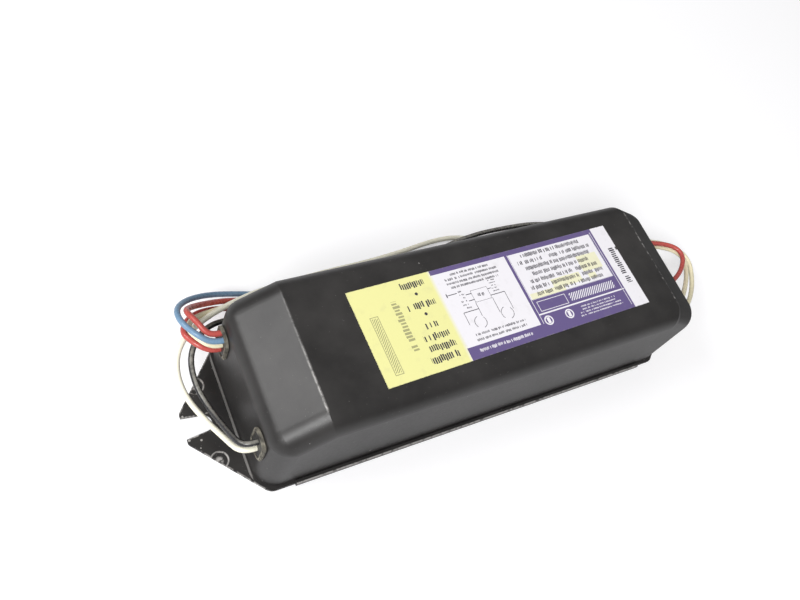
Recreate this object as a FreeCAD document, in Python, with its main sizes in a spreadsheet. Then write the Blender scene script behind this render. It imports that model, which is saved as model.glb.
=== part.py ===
"""Fluorescent lamp ballast: a drawn steel can on a hemmed base plate, its leads, and what it holds.

The origin is on the underside of the base plate, at the middle of its outline. +X runs along
the can, +Y to its back and +Z up through the rating label. All lengths are in millimetres.
"""
import FreeCAD, Part
import math
import os

import Sketcher

from FreeCAD import Placement, Rotation, Vector

SIZES = [
    ("plate_sheet", 0.9, "sheet of the base plate"),
    ("can_sheet", 0.9, "sheet of the can"),
    ("can_length", 203.4, "can over its end walls, at the foot"),
    ("can_width", 64.0, "can over its side walls, at the foot"),
    ("can_height", 49.1, "can from the base plate to the flat top"),
    ("can_draft", 1.0, "draft of the can's walls, degrees"),
    ("top_length", 164.4, "flat top, from crease to crease"),
    ("panel_slope", 32.0, "slope of the panel at each end, degrees"),
    ("edge_radius", 9.0, "radius along the tops of the side walls and down the corners"),
    ("end_radius", 8.0, "radius between the sloped panel and the end wall"),
    ("flange_width", 1.2, "flange round the foot of the can"),
    ("hem_length", 175.0, "hem along each long side of the base plate"),
    ("hem_cover", 0.8, "what the hem covers of the can's flange"),
    ("fold_clearance", 0.05, "between the hem and the flange that it grips"),
    ("plate_length", 241.2, "base plate over the tips of its tabs"),
    ("tip_width", 12.6, "blunt end of the tab, before the notch is cut"),
    ("tip_radius", 1.2, "rounding of the tab's tips"),
    ("hem_radius", 0.8, "outside of the hem's bends"),
    ("shoulder_length", 195.0, "where the slanted edges of the tabs start"),
    ("shoulder_radius", 5.0, "rounding where a slanted edge meets the side"),
    ("notch_spacing", 226.0, "between the screw centres in the two notches"),
    ("notch_width", 6.8, "notch at its round root"),
    ("notch_mouth", 8.6, "notch at the tips"),
    ("relief_width", 6.6, "round pressed mark that runs out through the slanted edge"),
    ("relief_depth", 0.45, "depth of that mark in the sheet"),
    ("relief_inset", 0.8, "its centre, inside the slanted edge"),
    ("relief_side", 15.6, "its centre, off the middle line"),
    ("label_length", 126.6, "rating label"),
    ("label_width", 39.5, "rating label"),
    ("label_sheet", 0.2, "rating label with its glue"),
    ("label_shift_x", 4.2, "label off the middle of the top"),
    ("label_shift_y", -1.4, "label off the middle of the top"),
    ("label_skew", 1.35, "label's turn on the top, degrees"),
    ("exit_side", 20.5, "lead exits, off the middle line"),
    ("exit_height", 24.5, "lead exits, above the floor"),
    ("bore_width", 7.4, "bore of a lead bushing"),
    ("bore_height", 13.6, "bore of a lead bushing"),
    ("bushing_wall", 0.8, "wall of a lead bushing"),
    ("bushing_corner", 3.2, "rounding of a bushing's bore"),
    ("bushing_lip", 0.5, "lip outside the can wall"),
    ("bushing_nose", 1.1, "bushing outside the can wall"),
    ("bushing_reach", 3.4, "bushing inside the can wall"),
    ("lead_start", 102.2, "face of the compound in a bushing, from the middle"),
    ("liner_sheet", 0.5, "insulating board on the base plate"),
    ("liner_margin", 3.0, "from the liner's edge to the can's inner foot"),
    ("core_length", 112.0, "lamination stack along the can"),
    ("core_width", 54.0, "lamination stack across the can"),
    ("core_stack", 24.0, "height of the lamination stack"),
    ("core_leg", 18.0, "centre leg of the core"),
    ("core_yoke", 9.0, "outer legs and yokes of the core"),
    ("core_start", -82.0, "left end of the core"),
    ("gap_sheet", 0.3, "spacer that sets the air gap"),
    ("shunt_length", 8.0, "magnetic shunt between the two coils"),
    ("shunt_gap", 0.4, "gap between a shunt and the centre leg"),
    ("band_sheet", 0.5, "steel band round the core"),
    ("coil_length", 40.0, "each winding along the centre leg"),
    ("coil_build", 7.3, "depth of a winding"),
    ("tube_sheet", 0.5, "paper tube under a winding"),
    ("wrap_sheet", 0.4, "tape over a winding"),
    ("coil_spacing", 1.0, "between a coil and what stands at its ends"),
    ("coil_corner", 0.8, "inner corners of a winding"),
    ("capacitor_start", 46.0, "cover of the capacitor"),
    ("capacitor_length", 44.0, "capacitor can"),
    ("capacitor_width", 46.0, "capacitor can"),
    ("capacitor_height", 33.0, "capacitor can"),
    ("capacitor_corner", 8.0, "rounding of the capacitor can"),
    ("cover_sheet", 1.6, "crimped cover of the capacitor"),
    ("cell_sheet", 0.5, "wall of the capacitor can"),
    ("cell_clearance", 1.0, "round the roll in the capacitor can"),
    ("sleeve_sheet", 0.5, "insulating sleeve round the capacitor"),
    ("terminal_spacing", 18.0, "between the capacitor's two blades"),
    ("terminal_length", 7.5, "blade of the capacitor"),
    ("terminal_width", 6.3, "blade of the capacitor"),
    ("terminal_sheet", 0.8, "blade of the capacitor"),
    ("resistor_length", 11.0, "bleed resistor"),
    ("resistor_width", 4.0, "bleed resistor"),
    ("resistor_wire", 0.8, "wires of the bleed resistor"),
    ("protector_length", 19.0, "thermal protector"),
    ("protector_width", 8.0, "thermal protector"),
    ("protector_height", 4.2, "thermal protector"),
    ("splice_length", 14.0, "sleeve over a splice"),
    ("splice_width", 3.4, "sleeve over a splice"),
    ("splice_rise", 6.0, "between splices, one above the other"),
    ("splice_low", 10.0, "lowest splice above the floor"),
    ("splice_side", 6.0, "splices, off the middle line"),
    ("splice_gap", 1.7, "from a splice to the capacitor's end"),
    ("splice_end_gap", 10.0, "from the core to the splices on its left"),
    ("link_width", 1.6, "wire from the capacitor to the winding"),
    ("link_radius", 3.0, "bends of that wire"),
    ("lead_width", 2.3, "a lead over its insulation"),
    ("conductor_width", 1.02, "solid conductor of a lead"),
    ("stripped_length", 8.0, "bare end of a lead"),
]

# Leads, as the points that their routes turn at. The first point is in the bushing.
LEADS = {
    "line_lead_black": [
        (-102.2, -20.2, 26.6),
        (-105.2, -20.2, 26.6),
        (-108.3, -18.2, 25.1),
        (-109.3, -12.6, 21.0),
        (-111.2, -0.8, 13.2),
        (-113.2, 10.5, 11.2),
        (-113.2, 20.0, 14.0),
        (-109.8, 27.0, 15.4),
        (-101.0, 34.8, 12.0),
        (-88.0, 37.6, 5.0),
        (-68.3, 36.0, 2.1),
        (-40.4, 37.7, 1.9),
        (-10.0, 44.0, 1.3),
        (16.0, 49.8, 1.9),
        (35.6, 52.1, 4.4),
        (57.9, 53.4, 1.6),
        (76.0, 52.4, 1.3),
        (90.0, 48.4, 1.3),
    ],
    "line_lead_white": [
        (-102.2, -20.9, 22.0),
        (-105.2, -20.9, 22.0),
        (-108.5, -19.0, 20.8),
        (-110.2, -13.6, 17.4),
        (-113.9, -2.6, 11.4),
        (-118.3, 9.0, 11.0),
        (-119.0, 19.5, 14.6),
        (-114.8, 27.7, 18.7),
        (-104.0, 34.2, 19.6),
        (-90.0, 40.5, 14.4),
        (-75.9, 45.4, 9.7),
        (-57.9, 49.6, 3.3),
        (-40.0, 51.4, 1.3),
        (-22.0, 51.6, 1.2),
        (-2.0, 53.0, 1.3),
        (13.0, 54.9, 1.3),
        (25.0, 54.9, 1.3),
        (34.5, 52.4, 1.2),
        (42.0, 49.2, 1.3),
    ],
    "lamp_lead_blue": [
        (-102.2, 19.4, 29.0),
        (-106.4, 19.4, 29.0),
        (-111.6, 23.6, 31.2),
        (-115.1, 30.1, 30.4),
        (-114.3, 37.5, 26.5),
        (-107.8, 43.4, 20.0),
        (-97.1, 47.5, 11.9),
        (-82.0, 48.6, 3.8),
        (-67.9, 45.6, 1.3),
        (-56.1, 44.6, 1.2),
    ],
    "lamp_lead_red_1": [
        (-102.2, 22.2, 29.6),
        (-104.8, 22.2, 29.6),
        (-107.6, 23.6, 30.3),
        (-109.9, 27.9, 32.2),
        (-111.8, 33.8, 29.6),
        (-109.6, 37.8, 24.1),
        (-101.6, 41.7, 16.5),
        (-90.0, 45.0, 8.2),
        (-75.1, 44.1, 2.8),
        (-57.9, 41.9, 1.3),
        (-45.9, 41.4, 1.3),
    ],
    "lamp_lead_red_2": [
        (-102.2, 20.0, 20.6),
        (-105.8, 20.0, 20.6),
        (-111.0, 23.9, 22.2),
        (-114.2, 30.3, 21.2),
        (-108.0, 38.2, 16.3),
        (-97.6, 41.8, 10.6),
        (-84.0, 41.6, 4.4),
        (-68.2, 39.4, 1.3),
        (-56.5, 39.2, 1.3),
    ],
    "lamp_lead_cream": [
        (-102.2, 19.6, 25.0),
        (-105.8, 19.6, 25.0),
        (-110.6, 24.2, 26.6),
        (-112.3, 30.4, 24.4),
        (-106.5, 36.1, 18.7),
        (-96.0, 39.2, 13.8),
        (-83.1, 43.1, 9.3),
        (-67.2, 46.2, 4.4),
        (-50.0, 47.1, 1.7),
        (-36.0, 47.0, 1.4),
    ],
    "lamp_lead_red_3": [
        (102.2, -19.4, 27.4),
        (106.4, -19.4, 27.4),
        (111.2, -14.8, 24.2),
        (113.1, -5.5, 20.0),
        (127.5, 0.0, 19.0),
        (136.4, 9.5, 18.2),
        (130.9, 16.8, 17.9),
        (113.3, 24.0, 13.6),
        (99.9, 35.2, 7.1),
        (83.7, 41.4, 2.7),
        (64.0, 43.4, 1.2),
        (59.0, 43.6, 1.3),
    ],
    "lamp_lead_cream_2": [
        (102.2, -21.6, 22.8),
        (106.6, -21.6, 22.8),
        (115.0, -19.0, 20.6),
        (127.0, -12.8, 16.2),
        (138.0, -3.4, 12.8),
        (143.0, 8.2, 13.4),
        (134.6, 17.4, 14.8),
        (121.6, 25.0, 11.6),
        (108.0, 36.4, 5.0),
        (90.0, 45.4, 1.4),
        (69.9, 48.5, 1.2),
        (60.0, 48.8, 1.3),
    ],
    "lamp_lead_cream_3": [
        (102.2, -18.8, 22.4),
        (106.4, -18.8, 22.4),
        (114.0, -15.2, 21.4),
        (124.6, -8.6, 17.8),
        (134.6, -0.4, 14.6),
        (138.8, 8.4, 15.0),
        (132.0, 15.5, 15.6),
        (119.2, 21.6, 12.4),
        (105.5, 32.9, 6.4),
        (88.5, 39.3, 1.2),
        (69.9, 39.3, 1.3),
        (60.0, 39.2, 1.3),
    ],
}

os.makedirs("parts", exist_ok=True)
doc = FreeCAD.newDocument("ballast")
sizes = doc.addObject("Spreadsheet::Sheet", "Sizes")
for row, (name, number, note) in enumerate(SIZES, start=1):
    sizes.set("A%d" % row, name)
    sizes.set("B%d" % row, str(number))
    sizes.setAlias("B%d" % row, name)
    sizes.set("C%d" % row, note)
doc.recompute()

NODES = []


def size(name):
    """One driving size, as a number."""
    return float(sizes.get(name))


def amount(formula):
    """What a formula over the driving sizes comes to."""
    found = sizes.evalExpression(formula)
    return float(getattr(found, "Value", found))


def bind(thing, **formulas):
    """Tie an object's properties to formulas over the driving sizes."""
    for prop, formula in formulas.items():
        thing.setExpression(prop.replace("__", "."), formula)


def keep(thing, label):
    """Name a finished sub-part, so that it gets a file of its own."""
    thing.Label = label
    NODES.append(thing)
    return thing


# Sketches

def new_body(name):
    return doc.addObject("PartDesign::Body", name)


def new_sketch(body, name, role, offset="0"):
    """A sketch on one of the body's own planes, moved along that plane's normal."""
    sketch = body.newObject("Sketcher::SketchObject", name)
    plane = [f for f in body.Origin.OriginFeatures if f.Role == role][0]
    sketch.AttachmentSupport = [(plane, "")]
    sketch.MapMode = "FlatFace"
    sketch.setExpression("AttachmentOffset.Base.z", offset)
    return sketch


def pin_point(sketch, geometry, vertex, x, y):
    """Hold one point of the sketch at a pair of formulas, measured from its origin."""
    for kind, formula, axis in (("DistanceX", x, -2), ("DistanceY", y, -1)):
        if formula is None:
            continue
        number = amount(formula)
        if abs(number) < 1e-9:
            sketch.addConstraint(Sketcher.Constraint("PointOnObject", geometry, vertex, axis))
            continue
        index = sketch.addConstraint(Sketcher.Constraint(kind, -1, 1, geometry, vertex, number))
        sketch.setExpression("Constraints[%d]" % index, formula)


def polygon(sketch, corners):
    """A closed outline whose corners are pairs of formulas."""
    points = [Vector(amount(x), amount(y), 0) for x, y in corners]
    first = sketch.GeometryCount
    for start, end in zip(points, points[1:] + points[:1]):
        sketch.addGeometry(Part.LineSegment(start, end), False)
    count = len(points)
    for i in range(count):
        joint = (first + i, 2, first + (i + 1) % count, 1)
        sketch.addConstraint(Sketcher.Constraint("Coincident", *joint))
    for i, (x, y) in enumerate(corners):
        pin_point(sketch, first + i, 1, x, y)


def circle(sketch, x, y, radius):
    """A circle whose centre and radius are formulas."""
    centre = Vector(amount(x), amount(y), 0)
    index = sketch.addGeometry(Part.Circle(centre, Vector(0, 0, 1), amount(radius)), False)
    pin_point(sketch, index, 3, x, y)
    ring = sketch.addConstraint(Sketcher.Constraint("Radius", index, amount(radius)))
    sketch.setExpression("Constraints[%d]" % ring, radius)


def rounded_rectangle(sketch, x, y, half_x, half_y, radius):
    """A rectangle with round corners, centred on the formulas x and y."""
    cx, cy, hx, hy, r = (amount(f) for f in (x, y, half_x, half_y, radius))
    first = sketch.GeometryCount
    corners = [(1, -1, 270), (1, 1, 0), (-1, 1, 90), (-1, -1, 180)]
    for sx, sy, start in corners:
        centre = Vector(cx + sx * (hx - r), cy + sy * (hy - r), 0)
        ring = Part.Circle(centre, Vector(0, 0, 1), r)
        turn = math.radians(start)
        sketch.addGeometry(Part.ArcOfCircle(ring, turn, turn + math.pi / 2), False)
    for i, (sx, sy, start) in enumerate(corners):
        arc, following = sketch.Geometry[first + i], sketch.Geometry[first + (i + 1) % 4]
        sketch.addGeometry(Part.LineSegment(arc.EndPoint, following.StartPoint), False)
    for i in range(4):
        side = first + 4 + i
        sketch.addConstraint(Sketcher.Constraint("Tangent", first + i, 2, side, 1))
        sketch.addConstraint(Sketcher.Constraint("Tangent", side, 2, first + (i + 1) % 4, 1))
        if i:
            sketch.addConstraint(Sketcher.Constraint("Equal", first, first + i))
    for i, kind in enumerate(("Vertical", "Horizontal", "Vertical", "Horizontal")):
        sketch.addConstraint(Sketcher.Constraint(kind, first + 4 + i))
    ring = sketch.addConstraint(Sketcher.Constraint("Radius", first, r))
    sketch.setExpression("Constraints[%d]" % ring, radius)
    pin_point(sketch, first + 4, 1, "%s + %s" % (x, half_x), None)
    pin_point(sketch, first + 5, 1, None, "%s + %s" % (y, half_y))
    pin_point(sketch, first + 6, 1, "%s - %s" % (x, half_x), None)
    pin_point(sketch, first + 7, 1, None, "%s - %s" % (y, half_y))


def pad(body, sketch, length, midplane=False, reverse=False):
    feature = body.newObject("PartDesign::Pad", sketch.Name + "_pad")
    feature.Profile = sketch
    feature.Midplane = midplane
    feature.Reversed = reverse
    bind(feature, Length=length)
    doc.recompute()
    return feature


def draft_walls(body, name, angle):
    """Lean the upright walls of the body's last feature inwards from its foot."""
    base = body.Tip
    walls, foot = [], None
    for i, face in enumerate(base.Shape.Faces):
        normal = face.normalAt(0, 0)
        if abs(normal.z) < 0.5:
            walls.append("Face%d" % (i + 1))
        elif normal.z < 0:
            foot = "Face%d" % (i + 1)
    feature = body.newObject("PartDesign::Draft", name)
    feature.Base = (base, walls)
    feature.NeutralPlane = (base, [foot])
    bind(feature, Angle=angle)
    doc.recompute()
    return feature


def pocket(body, sketch, midplane=False, reverse=False):
    """Cut a sketch right through the body, and make sure that it did."""
    before = body.Shape.Volume
    feature = body.newObject("PartDesign::Pocket", sketch.Name + "_pocket")
    feature.Profile = sketch
    feature.Type = "ThroughAll"
    feature.Midplane = midplane
    feature.Reversed = reverse
    doc.recompute()
    if not body.Shape.Volume < before - 1e-6:
        raise RuntimeError(feature.Name + " removes nothing")
    return feature


def fillet(body, name, radius, chosen):
    """Round the edges of the body that chosen accepts."""
    base = body.Tip
    names = ["Edge%d" % (i + 1) for i, edge in enumerate(base.Shape.Edges) if chosen(edge)]
    if not names:
        raise RuntimeError(name + " finds no edge")
    feature = body.newObject("PartDesign::Fillet", name)
    feature.Base = (base, names)
    bind(feature, Radius=radius)
    doc.recompute()
    if "Invalid" in feature.State or feature.Shape.isNull():
        raise RuntimeError(name + " failed")
    return feature


def span(edge):
    """The edge's extent along X, Y and Z."""
    box = edge.BoundBox
    return box.XLength, box.YLength, box.ZLength


# Part primitives

def block(name, x, y, z, length, width, height):
    """A box with its low corner at the formulas x, y and z."""
    box = doc.addObject("Part::Box", name)
    bind(box, Length=length, Width=width, Height=height)
    bind(box, Placement__Base__x=x, Placement__Base__y=y, Placement__Base__z=z)
    return box


def rod(name, x, y, z, axis, radius, length):
    """A cylinder that starts at x, y, z and runs along the given axis."""
    cylinder = doc.addObject("Part::Cylinder", name)
    cylinder.Placement = Placement(Vector(), Rotation(Vector(0, 0, 1), axis))
    bind(cylinder, Radius=radius, Height=length)
    bind(cylinder, Placement__Base__x=x, Placement__Base__y=y, Placement__Base__z=z)
    return cylinder


def fuse(name, pieces):
    union = doc.addObject("Part::MultiFuse", name)
    union.Shapes = pieces
    return union


def cut(name, base, tool):
    """Base without tool. What a cut only borrows stays a piece of its own."""
    difference = doc.addObject("Part::Cut", name)
    difference.Base = base
    difference.Tool = tool
    doc.recompute()
    return difference


# The can

SLOPE = "tan(Sizes.panel_slope)"


def can_form(name, inset):
    """The can's outer or inner form: drafted walls, a sloped panel at each end, round edges."""
    body = new_body(name)
    bind(body, Placement__Base__z="Sizes.plate_sheet")
    half_x = "(Sizes.can_length / 2 - %s)" % inset
    half_y = "(Sizes.can_width / 2 - %s)" % inset
    top = "(Sizes.can_height - %s)" % inset
    foot = new_sketch(body, name + "_foot", "XY_Plane")
    polygon(foot, [("-" + half_x, "-" + half_y), (half_x, "-" + half_y),
                   (half_x, half_y), ("-" + half_x, half_y)])
    pad(body, foot, top)
    draft_walls(body, name + "_draft", "Sizes.can_draft")
    crease = "(Sizes.top_length / 2 - %s * tan(Sizes.panel_slope / 2))" % inset
    drop = "(%s - (%s - %s) * %s)" % (top, half_x, crease, SLOPE)
    for side, sign in (("left", "-"), ("right", "")):
        slope = new_sketch(body, "%s_%s_slope" % (name, side), "XZ_Plane")
        polygon(slope, [(sign + crease, top), (sign + half_x, drop), (sign + half_x, top)])
        pocket(body, slope, midplane=True)
    width, middle = amount(half_y), amount(drop) / 2

    def over_end_wall(edge):
        low = edge.CenterOfMass.z > middle and edge.BoundBox.ZMax < amount(top) - 1
        return span(edge)[1] > width and low

    def along_side(edge):
        return abs(edge.CenterOfMass.y) > width / 2 and span(edge)[1] < 2 \
            and edge.CenterOfMass.z > middle / 4

    fillet(body, name + "_end_edges", "Sizes.end_radius - %s" % inset, over_end_wall)
    fillet(body, name + "_side_edges", "Sizes.edge_radius - %s" % inset, along_side)
    return body


def flange_form():
    """The flange round the can's foot, still with the sheet across it."""
    body = new_body("flange_form")
    bind(body, Placement__Base__z="Sizes.plate_sheet")
    outline = new_sketch(body, "flange_outline", "XY_Plane")
    rounded_rectangle(outline, "0", "0", "(Sizes.can_length / 2 + Sizes.flange_width)",
                      "(Sizes.can_width / 2 + Sizes.flange_width)",
                      "Sizes.edge_radius + Sizes.flange_width")
    pad(body, outline, "Sizes.can_sheet")
    return body


# Where the lip of a bushing meets the drafted end wall, from the middle of the can.
SEAT = ("(Sizes.can_length / 2 - tan(Sizes.can_draft) * (Sizes.exit_height - Sizes.plate_sheet"
        " - Sizes.bore_height / 2 - Sizes.bushing_wall - Sizes.bushing_lip))")
EXITS = {
    "lead_bushing_front_left": (-1, "-Sizes.exit_side"),
    "lead_bushing_back_left": (-1, "Sizes.exit_side"),
    "lead_bushing_front_right": (1, "-Sizes.exit_side"),
}


def exit_ring(sketch, side, grow, bore=True):
    """The outline of a bushing, grown by a formula, and its bore."""
    half_y, half_z = "(Sizes.bore_width / 2 + %s)" % grow, "(Sizes.bore_height / 2 + %s)" % grow
    rounded_rectangle(sketch, side, "Sizes.exit_height", half_y, half_z,
                      "Sizes.bushing_corner + %s" % grow)
    if bore:
        rounded_rectangle(sketch, side, "Sizes.exit_height", "Sizes.bore_width / 2",
                          "Sizes.bore_height / 2", "Sizes.bushing_corner")


def exit_solid(name, end, side, grow, start, length, bore=True):
    """A ring or plug in an exit, from start to start + length, measured outwards."""
    body = new_body(name)
    offset = start if end > 0 else "-(%s)" % start
    sketch = new_sketch(body, name + "_outline", "YZ_Plane", offset)
    exit_ring(sketch, side, grow, bore)
    pad(body, sketch, length, reverse=end < 0)
    return body


def make_case_and_bushings():
    inner = can_form("inner_form", "Sizes.can_sheet")
    blank = fuse("case_blank", [can_form("outer_form", "0"), flange_form()])
    shell = cut("case_shell", blank, inner)
    inside = "Sizes.can_length / 2 - Sizes.bushing_reach"
    sleeve = "%s + Sizes.bushing_nose - (%s)" % (SEAT, inside)
    holes, plugs = [], []
    for name, (end, side) in EXITS.items():
        holes.append(exit_solid(name + "_hole", end, side, "Sizes.bushing_wall", inside,
                                sleeve, bore=False))
        plugs.append(exit_solid(name + "_plug", end, side, "0", inside,
                                "Sizes.lead_start - (%s)" % inside, bore=False))
        barrel = exit_solid(name + "_barrel", end, side, "Sizes.bushing_wall", inside, sleeve)
        lip = exit_solid(name + "_rim", end, side, "(Sizes.bushing_wall + Sizes.bushing_lip)",
                         SEAT, "Sizes.bushing_wall")
        keep(fuse(name + "_solid", [barrel, lip]), name)
    keep(cut("case_solid", shell, fuse("exit_holes", holes)), "case")
    return inner, holes, plugs


# The base plate

def make_base_plate():
    body = new_body("plate_body")
    side = "(Sizes.can_width / 2 + Sizes.flange_width + Sizes.fold_clearance)"
    end, shoulder = "Sizes.plate_length / 2", "Sizes.shoulder_length / 2"
    tip = "Sizes.tip_width / 2"
    outline = new_sketch(body, "plate_outline", "XY_Plane")
    polygon(outline, [(end, "-" + tip), (end, tip), (shoulder, side), ("-" + shoulder, side),
                      ("-" + end, tip), ("-" + end, "-" + tip), ("-" + shoulder, "-" + side),
                      (shoulder, "-" + side)])
    pad(body, outline, "Sizes.plate_sheet")
    far = amount(end) - 1

    def at_shoulder(edge):
        return span(edge)[2] > 0.5 and abs(edge.CenterOfMass.x) < far

    def at_tip(edge):
        return span(edge)[2] > 0.5 and abs(edge.CenterOfMass.x) > far

    fillet(body, "shoulder_rounding", "Sizes.shoulder_radius", at_shoulder)
    fillet(body, "tip_rounding", "Sizes.tip_radius", at_tip)

    flare = new_sketch(body, "notch_flare", "XY_Plane")
    root = new_sketch(body, "notch_root", "XY_Plane")
    mouth, half = "Sizes.notch_mouth / 2", "Sizes.notch_width / 2"
    centre = "Sizes.notch_spacing / 2"
    for sign in ("", "-"):
        polygon(flare, [(sign + centre, "-" + half), (sign + end, "-" + mouth),
                        (sign + end, mouth), (sign + centre, half)])
        circle(root, sign + centre, "0", half)
    pocket(body, flare, midplane=True)
    pocket(body, root, midplane=True)

    run = "(Sizes.plate_length / 2 - Sizes.shoulder_length / 2)"
    rise = "(%s - %s)" % (side, tip)
    on_edge = "(Sizes.plate_length / 2 - (Sizes.relief_side - %s) * %s / %s)" % (tip, run, rise)
    inwards = "Sizes.relief_inset * sqrt(%s ^ 2 + %s ^ 2) / %s" % (run, rise, rise)
    reliefs = new_sketch(body, "edge_marks", "XY_Plane",
                         "Sizes.plate_sheet - Sizes.relief_depth")
    for across in ("", "-"):
        for along in ("", "-"):
            circle(reliefs, "%s(%s - %s)" % (along, on_edge, inwards),
                   across + "Sizes.relief_side", "Sizes.relief_width / 2")
    pocket(body, reliefs, reverse=True)

    seat = "(Sizes.plate_sheet + Sizes.can_sheet + Sizes.fold_clearance)"
    top = "(%s + Sizes.plate_sheet)" % seat
    outside = "(%s + Sizes.plate_sheet)" % side
    lip = "(%s - Sizes.fold_clearance - Sizes.hem_cover)" % side
    for name, sign in (("back", ""), ("front", "-")):
        hem = new_sketch(body, name + "_hem", "YZ_Plane")
        polygon(hem, [(sign + lip, "0"), (sign + outside, "0"), (sign + outside, top),
                      (sign + lip, top), (sign + lip, seat), (sign + side, seat),
                      (sign + side, "Sizes.plate_sheet"), (sign + lip, "Sizes.plate_sheet")])
        pad(body, hem, "Sizes.hem_length", midplane=True)
    reach = amount(outside) - 1e-3

    def outer_bend(edge):
        return span(edge)[0] > 100 and abs(edge.CenterOfMass.y) > reach

    fillet(body, "hem_rounding", "Sizes.hem_radius", outer_bend)
    keep(body, "base_plate")


def make_label():
    label = block("label_sheet", "0", "0", "Sizes.plate_sheet + Sizes.can_height",
                  "Sizes.label_length", "Sizes.label_width", "Sizes.label_sheet")
    label.Placement.Rotation = Rotation(Vector(0, 0, 1), size("label_skew"))
    turn = "Sizes.label_skew"
    half_x, half_y = "Sizes.label_length / 2", "Sizes.label_width / 2"
    bind(label, Placement__Rotation__Angle=turn)
    bind(label, Placement__Base__x="Sizes.label_shift_x - %s * cos(%s) + %s * sin(%s)"
         % (half_x, turn, half_y, turn))
    bind(label, Placement__Base__y="Sizes.label_shift_y - %s * sin(%s) - %s * cos(%s)"
         % (half_x, turn, half_y, turn))
    keep(label, "rating_label")


# Core and windings

FLOOR = "(Sizes.plate_sheet + Sizes.liner_sheet)"
CORE_MIDDLE = ("(%s + Sizes.wrap_sheet + Sizes.coil_build + Sizes.tube_sheet"
               " + Sizes.core_stack / 2)" % FLOOR)
STACK_BASE = "(%s - Sizes.core_stack / 2)" % CORE_MIDDLE
WINDOW_START = "(Sizes.core_start + Sizes.core_yoke)"
PRIMARY_START = "(%s + Sizes.coil_spacing)" % WINDOW_START
SHUNT_START = "(%s + Sizes.coil_length + Sizes.coil_spacing)" % PRIMARY_START
SECONDARY_START = "(%s + Sizes.shunt_length + Sizes.coil_spacing)" % SHUNT_START
CORE_END = "(Sizes.core_start + Sizes.core_length)"


def ring_body(name, start, length, middle_z, outer, inner=None, sharp_bore=False):
    """A tube or bar along X. Outer and inner are (half width, half height, radius)."""
    body = new_body(name)
    sketch = new_sketch(body, name + "_section", "YZ_Plane", start)
    rounded_rectangle(sketch, "0", middle_z, *outer)
    if inner and sharp_bore:
        low, high = "%s - %s" % (middle_z, inner[1]), "%s + %s" % (middle_z, inner[1])
        polygon(sketch, [("-" + inner[0], low), (inner[0], low), (inner[0], high),
                         ("-" + inner[0], high)])
    elif inner:
        rounded_rectangle(sketch, "0", middle_z, *inner)
    pad(body, sketch, length)
    return body


def make_liner():
    margin = "(Sizes.can_sheet + Sizes.liner_margin)"
    half_x = "(Sizes.can_length / 2 - %s)" % margin
    half_y = "(Sizes.can_width / 2 - %s)" % margin
    liner = block("liner_board", "-" + half_x, "-" + half_y, "Sizes.plate_sheet",
                  "2 * " + half_x, "2 * " + half_y, "Sizes.liner_sheet")
    return keep(liner, "floor_liner")


def make_core():
    body = new_body("core_e_body")
    profile = new_sketch(body, "core_e_profile", "XY_Plane", STACK_BASE)
    left, window = "Sizes.core_start", WINDOW_START
    right = "(%s - Sizes.core_yoke - Sizes.gap_sheet)" % CORE_END
    out, leg = "Sizes.core_width / 2", "Sizes.core_leg / 2"
    edge = "(Sizes.core_width / 2 - Sizes.core_yoke)"
    polygon(profile, [(left, "-" + out), (right, "-" + out), (right, "-" + edge),
                      (window, "-" + edge), (window, "-" + leg), (right, "-" + leg),
                      (right, leg), (window, leg), (window, edge), (right, edge),
                      (right, out), (left, out)])
    pad(body, profile, "Sizes.core_stack")
    e_stack = keep(body, "core_e_stack")
    spacer = block("spacer_sheet", right, "-" + out, STACK_BASE,
                   "Sizes.gap_sheet", "Sizes.core_width", "Sizes.core_stack")
    i_stack = block("core_i_bar", "%s - Sizes.core_yoke" % CORE_END, "-" + out, STACK_BASE,
                    "Sizes.core_yoke", "Sizes.core_width", "Sizes.core_stack")
    thick = "(%s - %s - Sizes.shunt_gap)" % (edge, leg)
    shunts = [block("front_block", SHUNT_START, "-" + edge, STACK_BASE,
                    "Sizes.shunt_length", thick, "Sizes.core_stack"),
              block("back_block", SHUNT_START, "%s - %s" % (edge, thick), STACK_BASE,
                    "Sizes.shunt_length", thick, "Sizes.core_stack")]
    around = block("band_outside", SHUNT_START, "-%s - Sizes.band_sheet" % out,
                   "%s - Sizes.band_sheet" % STACK_BASE, "Sizes.shunt_length",
                   "Sizes.core_width + 2 * Sizes.band_sheet",
                   "Sizes.core_stack + 2 * Sizes.band_sheet")
    within = block("band_inside", SHUNT_START, "-" + out, STACK_BASE,
                   "Sizes.shunt_length", "Sizes.core_width", "Sizes.core_stack")
    return [e_stack, keep(spacer, "gap_spacer"), keep(i_stack, "core_i_stack"),
            keep(shunts[0], "magnetic_shunt_front"), keep(shunts[1], "magnetic_shunt_back"),
            keep(cut("band_ring", around, within), "core_band")]


def make_winding(name, start):
    """A paper tube on the centre leg, the winding on it and the tape round that."""
    leg = ("Sizes.core_leg / 2", "Sizes.core_stack / 2", "0")

    def grown(*layers):
        total = " + ".join(layers)
        return ("(%s + %s)" % (leg[0], total), "(%s + %s)" % (leg[1], total),
                " + ".join(("Sizes.coil_corner",) + layers[1:]))

    tube, build, wrap = "Sizes.tube_sheet", "Sizes.coil_build", "Sizes.wrap_sheet"
    overhang = "Sizes.coil_spacing / 2"
    pieces = [
        keep(ring_body(name + "_tube_body", "%s - %s" % (start, overhang),
                       "Sizes.coil_length + 2 * " + overhang, CORE_MIDDLE, grown(tube), leg,
                       sharp_bore=True), name + "_coil_tube"),
        keep(ring_body(name + "_turns", start, "Sizes.coil_length", CORE_MIDDLE,
                       grown(tube, build), grown(tube)), name + "_coil"),
        keep(ring_body(name + "_tape", start, "Sizes.coil_length", CORE_MIDDLE,
                       grown(tube, build, wrap), grown(tube, build)), name + "_coil_wrap"),
    ]
    return pieces


# The capacitor

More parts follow.
